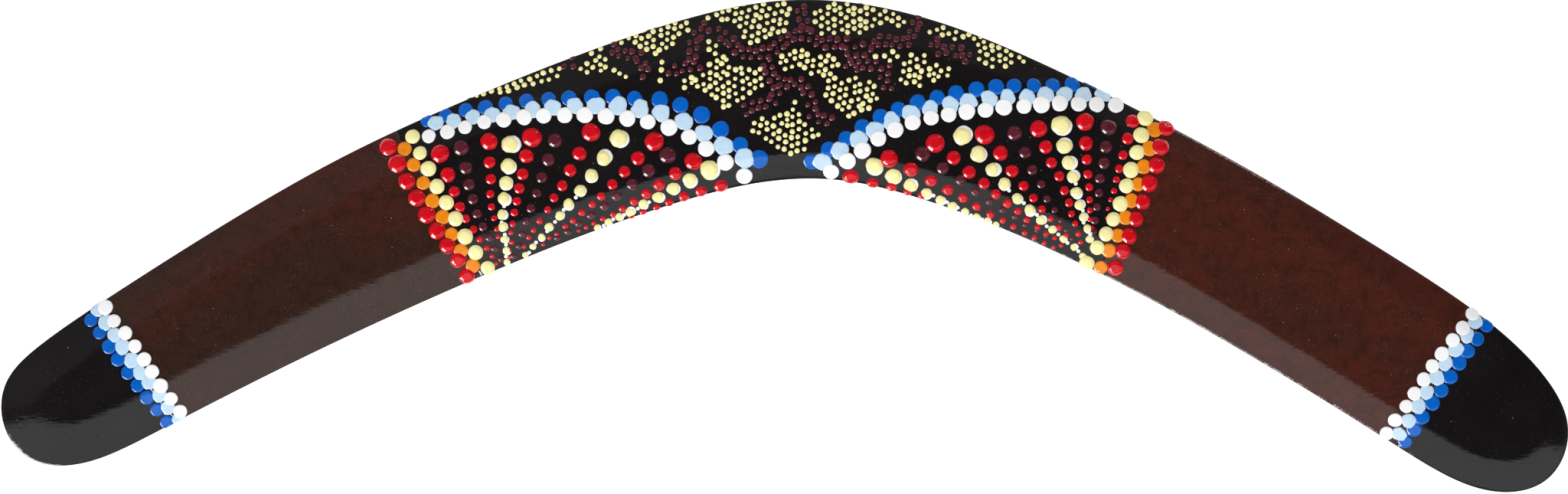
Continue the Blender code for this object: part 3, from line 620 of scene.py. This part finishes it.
def drop_meshes(centres, radii, rng, rise, lift=0.0, wobble=DROP_WOBBLE, section=DROP_SECTION,
                segments=DROP_SEGMENTS):
    """Points and faces of low domed drops, each round in the plane of the surface that it lies on."""
    count = len(centres)
    _, normals = seat(centres)
    angle = np.linspace(0, 2 * math.pi, segments, endpoint=False)
    outline = np.ones((count, segments))
    for waves in WOBBLE_WAVES:
        phase = rng.uniform(0, 2 * math.pi, (count, 1))
        strength = wobble / math.sqrt(waves) * rng.uniform(0.3, 1.0, (count, 1))
        outline += strength * np.cos(waves * angle + phase)
    reach = radii[:, None] * outline
    spread = np.stack([reach * np.cos(angle), reach * np.sin(angle)], axis=-1)
    downhill = normals[:, None, :2]
    squeeze = (normals[:, 2:3] - 1) / np.maximum((downhill ** 2).sum(axis=2), 1e-9)
    spread += (squeeze * (spread * downhill).sum(axis=2))[:, :, None] * downhill
    shares, profile = np.array([section[0]] + section).T
    plan = centres[:, None, None] + shares[None, :, None, None] * spread[:, None]
    heights = rise * radii[:, None] * profile + lift
    heights[:, 0] = -DROP_SINK
    places, normals = seat(plan.reshape(-1, 2))
    points = places + normals * np.repeat(heights.reshape(-1), segments)[:, None]
    points = points.reshape(count, len(shares), segments, 3)
    tops = points[:, -1].mean(axis=1)
    points = points[:, :-1].reshape(-1, 3)
    faces = []
    around = np.arange(segments)
    after = np.roll(around, -1)
    for index in range(count):
        first = index * len(section) * segments
        last = first + (len(section) - 1) * segments
        faces.append((first + around[::-1]).tolist())
        for low in range(first, last, segments):
            high = low + segments
            faces += np.column_stack([low + around, low + after, high + after, high + around]).tolist()
        top = np.full(segments, len(points) + index)
        faces += np.column_stack([last + around, last + after, top]).tolist()
    return np.vstack([points, tops]), faces


def add_drops(name, centres, radii, finishes, slot, rise=DROP_RISE, **options):
    points, faces = drop_meshes(centres, radii, seeded(name + "_shape"), rise, **options)
    return add_piece(name, points, faces, finishes[slot])


def add_rows(finishes):
    """The rows across the arms and the rows that arch over the fans."""
    for (place, colour), (count, first, last, controls) in DROP_ROWS.items():
        name = f"{place}_{colour}_row"
        layer, rise, wobble, section = ROW_COLOURS[colour]
        rng = seeded(name)
        radii = np.linspace(first, last, count) / 2
        centres = row_places(controls, radii)
        radii = radii * rng.uniform(*ROW_SIZES, count)
        centres += rng.normal(0, DROP_SHIFT, centres.shape)
        drops = add_drops(name + "_drops", centres, radii, finishes, colour + "_paint", rise,
                          lift=layer * LAYER, wobble=wobble, section=section)
        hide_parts(name)


def add_fan(side, spokes, finishes):
    """The spokes of one fan, with drops that shrink towards the inner edge."""
    yellow = []
    for number, (colour, count, first, last, controls) in enumerate(spokes, start=1):
        name = f"{side}_fan_spoke_{number:02d}"
        rng = seeded(name)
        radii = first / 2 * (last / first) ** (np.linspace(0, 1, count) ** SPOKE_TAPER)
        centres = row_places(controls, radii, DROP_GAP)
        radii = radii * rng.uniform(*SPOKE_SIZES, count)
        centres += rng.normal(0, DROP_SHIFT, centres.shape)
        wobble = LOOSE_WOBBLE if colour == "yellow" else SPOKE_WOBBLE
        drops = add_drops(name + "_drops", centres, radii, finishes, colour + "_paint", wobble=wobble)
        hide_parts(name)
        if colour == "yellow":
            yellow.append((centres, radii))
    add_white_touches(side, yellow, finishes)


def add_white_touches(side, spokes, finishes):
    """White paint beside the yellow drops, and small white drops between those past the first third."""
    name = f"{side}_fan_white_touches"
    rng = seeded(name)
    centres = []
    radii = []
    for drops, sizes in spokes:
        for index, (drop, size) in enumerate(zip(drops, sizes)):
            turn = rng.uniform(*TOUCH_TURN)
            reach = size * rng.uniform(*TOUCH_REACH)
            centres.append(drop + reach * np.array([math.cos(turn), math.sin(turn)]))
            radii.append(size * TOUCH_SHARE)
            if index >= len(drops) // 3 and index + 1 < len(drops):
                centres.append((drop + drops[index + 1]) / 2 + rng.normal(0, BETWEEN_SHIFT, 2))
                radii.append(BETWEEN_RADIUS)
    add_drops(name, np.array(centres), np.array(radii), finishes, "white_paint", TOUCH_RISE)


def inside(polygon, points):
    """Which points lie inside a closed outline."""
    corners = np.array(polygon)
    (start_x, start_y), (end_x, end_y) = corners.T, np.roll(corners, -1, axis=0).T
    x, y = points[:, :1], points[:, 1:]
    spans = (start_y > y) != (end_y > y)
    crossing = start_x + (y - start_y) / (end_y - start_y) * (end_x - start_x)
    return (spans & (x < crossing)).sum(axis=1) % 2 == 1


def fill_patch(outline, rng):
    """Centres of small drops in slanting rows that fill an outline."""
    middle = np.mean(outline, axis=0)
    steps = np.arange(-PATCH_ROWS, PATCH_ROWS + 1)
    along, across = np.meshgrid(steps, steps)
    lattice = np.stack([along + across % 2 / 2, across * math.sqrt(0.75)], axis=-1).reshape(-1, 2)
    lattice *= YELLOW_PITCH
    slant = rng.uniform(*PATCH_SLANT)
    turn = np.array([[math.cos(slant), math.sin(slant)], [-math.sin(slant), math.cos(slant)]])
    places = lattice @ turn + rng.normal(0, DROP_SHIFT, lattice.shape)
    return middle + places[inside(outline, middle + places / PATCH_GROWTH)]


def trail_places(controls, pitch):
    """Evenly spaced points along a trail."""
    line = curve_points(controls)
    length = np.linalg.norm(np.diff(line, axis=0), axis=1).sum()
    return places_along(line, np.linspace(0, 1, max(2, round(length / pitch))))


def add_field(finishes):
    """Yellow patches and trails, and the double maroon trails that wind between them."""
    rng = seeded("field")
    yellow = [fill_patch(outline, rng) for outline in YELLOW_PATCHES]
    yellow += [trail_places(trail, YELLOW_PITCH) for trail in YELLOW_TRAILS]
    maroon = []
    for trail in MAROON_TRAILS:
        places = trail_places(trail, MAROON_PITCH)
        ways = unit(np.gradient(places, axis=0))
        sides = np.where(np.arange(len(places)) % 2 == 0, 1, -1)[:, None] * MAROON_HALF_WIDTH
        maroon.append(places + sides * np.column_stack([-ways[:, 1], ways[:, 0]]))
    kinds = (("yellow_patch", yellow, YELLOW_DROP, "yellow_paint"),
             ("maroon_trail", maroon, MAROON_DROP, "maroon_paint"))
    for kind, groups, size, slot in kinds:
        for number, centres in enumerate(groups, start=1):
            radii = size / 2 * rng.uniform(*FIELD_SIZES, len(centres))
            centres = centres + rng.normal(0, size * FIELD_JITTER, centres.shape)
            add_drops(f"{kind}_{number:02d}", centres, radii, finishes, slot, SMALL_DROP_RISE,
                      section=SMALL_DROP_SECTION, segments=SMALL_DROP_SEGMENTS, wobble=LOOSE_WOBBLE)


# Materials


class Nodes:
    """Short ways to add nodes to a material or a world."""

    def __init__(self, owner):
        owner.use_nodes = True
        self.tree = owner.node_tree

    def put(self, socket, value):
        """Link a socket to a node's output, or set it to a number, a vector or an RGB colour."""
        if isinstance(value, bpy.types.NodeSocket):
            self.tree.links.new(value, socket)
        else:
            socket.default_value = (*value, 1.0) if socket.type == "RGBA" else value

    def fill(self, node, inputs):
        """Put a node's inputs by name, with _ for a space."""
        for key, value in inputs.items():
            self.put(node.inputs[key.replace("_", " ")], value)

    def node(self, kind, settings=None, **inputs):
        made = self.tree.nodes.new(kind)
        for key, value in (settings or {}).items():
            setattr(made, key, value)
        self.fill(made, inputs)
        return made

    def place(self, space):
        return self.node("ShaderNodeTexCoord").outputs[space]

    def split(self, vector):
        """X, Y and Z of a vector."""
        return self.node("ShaderNodeSeparateXYZ", Vector=vector).outputs

    def math(self, operation, first, second=0.0, clamp=False):
        made = self.node("ShaderNodeMath", {"operation": operation, "use_clamp": clamp})
        self.put(made.inputs[0], first)
        self.put(made.inputs[1], second)
        return made.outputs[0]

    def ramp(self, value, low, high, start=0.0, end=1.0, shape="LINEAR"):
        """Value mapped from one range to another."""
        made = self.node("ShaderNodeMapRange", {"interpolation_type": shape}, Value=value,
                         From_Min=low, From_Max=high, To_Min=start, To_Max=end)
        return made.outputs["Result"]


class Finish(Nodes):
    """A new material, with what surfaces need."""

    def __init__(self, name):
        self.material = bpy.data.materials.new(name)
        super().__init__(self.material)

    def set(self, **inputs):
        self.fill(self.tree.nodes["Principled BSDF"], inputs)

    def along_arm(self):
        """Coordinates whose X runs along either arm, and whose Y runs across it."""
        x, y, z = self.split(self.place("Object"))
        mirrored = self.node("ShaderNodeCombineXYZ", X=self.math("ABSOLUTE", x), Y=y, Z=z).outputs[0]
        return self.node("ShaderNodeMapping", Vector=mirrored, Rotation=(0.0, 0.0, ARM_SLOPE)).outputs[0]

    def noise(self, place, scale, detail=2.0, roughness=0.5, stretch=(1.0, 1.0, 1.0)):
        """Noise from 0 to 1, with features of about 1 / scale metres."""
        mapped = self.node("ShaderNodeMapping", Vector=place, Scale=stretch).outputs[0]
        return self.node("ShaderNodeTexNoise", Vector=mapped, Scale=scale, Detail=detail,
                         Roughness=roughness).outputs["Fac"]

    def mix(self, share, first, second):
        """Blend of two colours."""
        made = self.node("ShaderNodeMix", {"data_type": "RGBA"})
        for index, value in ((0, share), (6, first), (7, second)):
            self.put(made.inputs[index], value)
        return made.outputs[2]

    def bump(self, height, distance, under=None):
        """Normal from a height from 0 to 1 that stands for the given distance."""
        made = self.node("ShaderNodeBump", Height=height, Distance=distance)
        if under:
            self.put(made.inputs["Normal"], under)
        return made.outputs["Normal"]


def tint(colour, amount):
    return tuple(channel * amount for channel in colour)


def lacquer(name):
    """Black lacquer under brushed clear varnish."""
    made = Finish(name)
    cloud = made.noise(made.place("Object"), 60, detail=4)
    colour = made.mix(made.ramp(cloud, 0.35, 0.7), tint(BLACK, 0.8), tint(BLACK, 1.25))
    made.set(Base_Color=dusted(made, colour, DUST_ON_BLACK))
    varnish(made)
    return made.material


def varnish(made):
    """Thick brushed varnish: broad waves, fine brush strokes that run along X, and specks of dust."""
    place = made.place("Object")
    waves = made.noise(place, 55, detail=3)
    strokes = made.noise(place, 620, detail=4, roughness=0.65, stretch=(0.22, 1.0, 1.0))
    normal = made.bump(strokes, 0.00007, under=made.bump(waves, 0.00032))
    specks = made.node("ShaderNodeTexVoronoi", Vector=place, Scale=260.0).outputs["Distance"]
    normal = made.bump(made.ramp(specks, 0.0, 0.05, 1.0, 0.0), 0.00016, under=normal)
    cloud = made.noise(place, 35, detail=3)
    made.set(Roughness=made.ramp(cloud, 0.3, 0.7, 0.02, 0.05), Normal=normal)


def dusted(made, colour, dust_colour):
    """Colour with fine pale specks of dust, in drifts."""
    place = made.place("Object")
    dust = made.node("ShaderNodeTexVoronoi", Vector=place, Scale=1200.0)
    chosen = made.ramp(dust.outputs["Color"], 0.34, 0.66)
    size = made.ramp(dust.outputs["Distance"], 0.08, 0.28, 1.0, 0.0)
    drifts = made.ramp(made.noise(place, 110, detail=3), 0.38, 0.62)
    speck = made.math("MULTIPLY", made.math("MULTIPLY", chosen, size), drifts)
    return made.mix(speck, colour, dust_colour)


def stain(name):
    """Brown stain in streaks along the arms, redder towards their upper edges and the right arm."""
    made = Finish(name)
    place = made.place("Object")
    along = made.along_arm()
    streaks = made.noise(along, 42, detail=4, roughness=0.6, stretch=(0.30, 1.0, 1.0))
    redder = made.math("ADD", made.ramp(made.split(place)["X"], -0.15, 0.10, -0.70, 0.30),
                       made.ramp(made.split(along)["Y"], 0.035, 0.062, 0.0, 0.25))
    red = made.math("ADD", made.ramp(streaks, 0.36, 0.64), redder, clamp=True)
    colour = made.mix(red, BROWN_DARK, BROWN_RED)
    blotches = made.noise(place, 240, detail=4, roughness=0.7)
    colour = made.mix(made.ramp(blotches, 0.45, 0.70, 0.0, 0.55), colour, tint(BROWN_DARK, 0.5))
    for stretch in ((0.12, 1.0, 1.0), (1.0, 0.12, 1.0)):
        strokes = made.noise(place, 900, detail=3, roughness=0.6, stretch=stretch)
        colour = made.mix(made.ramp(strokes, 0.45, 0.75, 0.0, 0.22), colour, tint(BROWN_DARK, 0.55))
    made.set(Base_Color=dusted(made, colour, DUST_ON_BROWN))
    varnish(made)
    return made.material


def paint(name, colour, mottle=0.10, gloss=0.06):
    """Acrylic paint under varnish: slightly uneven in colour, with a faintly wavy skin."""
    made = Finish(name)
    place = made.place("Object")
    cloud = made.noise(place, 500, detail=3)
    shade = made.mix(made.ramp(cloud, 0.3, 0.7), tint(colour, 1 - mottle), tint(colour, 1 + mottle))
    skin = made.bump(made.noise(place, 700, detail=2), 0.00003)
    made.set(Base_Color=shade, Normal=skin,
             Roughness=made.ramp(made.noise(place, 220), 0.3, 0.7, gloss * 0.7, gloss * 1.4))
    return made.material


def bare_wood(name):
    """Sealed hardwood with long grain that follows the arms."""
    made = Finish(name)
    along = made.along_arm()
    rings = made.noise(along, 55, detail=4, roughness=0.55, stretch=(0.05, 1.0, 1.0))
    fibres = made.noise(along, 900, detail=3, roughness=0.6, stretch=(0.03, 1.0, 1.0))
    colour = made.mix(made.ramp(rings, 0.35, 0.68), WOOD_LIGHT, WOOD_DARK)
    colour = made.mix(made.ramp(fibres, 0.45, 0.8, 0.0, 0.55), colour, tint(WOOD_DARK, 0.6))
    made.set(Base_Color=colour, Normal=made.bump(fibres, 0.00006),
             Roughness=made.ramp(fibres, 0.3, 0.7, 0.38, 0.55))
    return made.material


def make_finishes():
    return {
        "bare_wood": bare_wood("sealed_wood"),
        "black_lacquer": lacquer("black_lacquer_finish"),
        "brown_stain": stain("brown_stain_finish"),
        "blue_paint": paint("blue_dots", BLUE),
        "light_blue_paint": paint("light_blue_dots", LIGHT_BLUE, mottle=0.05),
        "white_paint": paint("white_dots", WHITE, mottle=0.02, gloss=0.15),
        "red_paint": paint("red_dots", RED),
        "orange_paint": paint("orange_dots", ORANGE),
        "yellow_paint": paint("yellow_dots", YELLOW, mottle=0.05, gloss=0.10),
        "maroon_paint": paint("maroon_dots", MAROON, mottle=0.20),
    }


# Stage


def add_floor():
    """Pale floor, bright enough to come out as plain paper."""
    made = Finish("floor_paper")
    grain = made.noise(made.place("Object"), 300, detail=2)
    made.set(Base_Color=made.mix(grain, tint(FLOOR, 0.99), FLOOR), Roughness=0.9, Specular_IOR_Level=0.1,
             Emission_Color=(1.0, 1.0, 1.0), Emission_Strength=FLOOR_GLOW)
    corners = [(x * FLOOR_HALF, y * FLOOR_HALF, 0.0) for x, y in ((-1, -1), (1, -1), (1, 1), (-1, 1))]
    mesh = bpy.data.meshes.new("floor")
    mesh.from_pydata(corners, [], [(0, 1, 2, 3)])
    mesh.materials.append(made.material)
    floor = bpy.data.objects.new("floor", mesh)
    floor.location.z = -FLOOR_DROP
    bpy.context.scene.collection.objects.link(floor)


def add_softbox(name, direction, width, height, radiance, in_gloss):
    """Softbox that faces the middle of the blade and lights either its gloss or its colours."""
    lamp = bpy.data.lights.new(name, "AREA")
    lamp.shape = "RECTANGLE"
    lamp.size = width
    lamp.size_y = height
    lamp.energy = radiance * math.pi * width * height
    light = bpy.data.objects.new(name, lamp)
    light.location = Vector(direction).normalized() * LIGHT_DISTANCE
    light.rotation_euler = (-light.location).to_track_quat("-Z", "Y").to_euler()
    light.visible_camera = False
    light.visible_glossy = in_gloss
    light.visible_diffuse = not in_gloss
    bpy.context.scene.collection.objects.link(light)


def add_lights():
    """A low window and a spark behind for the gloss, and two soft lights for the colours."""
    add_softbox("window", (-0.57, -0.66, 0.38), 1.15, 0.75, 21.0, in_gloss=True)
    add_softbox("spark", (0.55, 0.75, 0.42), 0.14, 0.18, 12.0, in_gloss=True)
    add_softbox("left_fill", (-0.56, -0.62, 0.70), 1.00, 1.00, 3.0, in_gloss=False)
    add_softbox("overhead", (0.0, -0.1, 1.0), 2.0, 2.0, 1.8, in_gloss=False)


def add_world():
    """Studio walls, dark overhead and towards the floor and bright in front, and white to the camera."""
    world = bpy.data.worlds.new("studio")
    bpy.context.scene.world = world
    made = Nodes(world)

    def wall(along, begin, full, brightness):
        return made.ramp(along, begin, full, 0.0, brightness, "SMOOTHSTEP")

    x, y, z = made.split(made.place("Generated"))
    forward = made.math("MULTIPLY", y, -1.0)
    front = made.math("SUBTRACT", wall(forward, *FRONT_PANEL), wall(forward, *FRONT_FADE))
    leaning = made.math("ADD", y, made.math("MULTIPLY", x, GLOW_LEAN))
    back = made.math("MAXIMUM", wall(y, *BACK_PANEL), wall(leaning, *BACK_GLOW))
    sides = wall(made.math("ABSOLUTE", x), *SIDE_PANELS)
    walls = made.math("MAXIMUM", front, made.math("MAXIMUM", back, sides))
    share = made.math("ADD", wall(z, *SKIRTING), SKIRTING_BASE)
    room = made.math("ADD", made.math("MULTIPLY", walls, share), CEILING)
    camera_ray = made.node("ShaderNodeLightPath").outputs["Is Camera Ray"]
    made.fill(made.tree.nodes["Background"],
              {"Color": (1.0, 1.0, 1.0), "Strength": made.math("MAXIMUM", room, camera_ray)})


def add_camera():
    """Camera straight above the blade, which fills the width of the picture."""
    lens = bpy.data.cameras.new("camera")
    lens.lens = LENS
    lens.sensor_width = SENSOR
    camera = bpy.data.objects.new("camera", lens)
    camera.location = (*VIEW_CENTRE, EDGE_HEIGHT + VIEW_WIDTH * LENS / SENSOR)
    bpy.context.scene.collection.objects.link(camera)
    bpy.context.scene.camera = camera


def main():
    finishes = make_finishes()
    add_wood(finishes)
    add_base_coats(finishes)
    add_rows(finishes)
    add_fan("left", LEFT_FAN, finishes)
    add_fan("right", RIGHT_FAN, finishes)
    add_field(finishes)
    add_floor()
    add_lights()
    add_world()
    add_camera()
    bpy.context.scene.view_settings.view_transform = "Standard"


main()
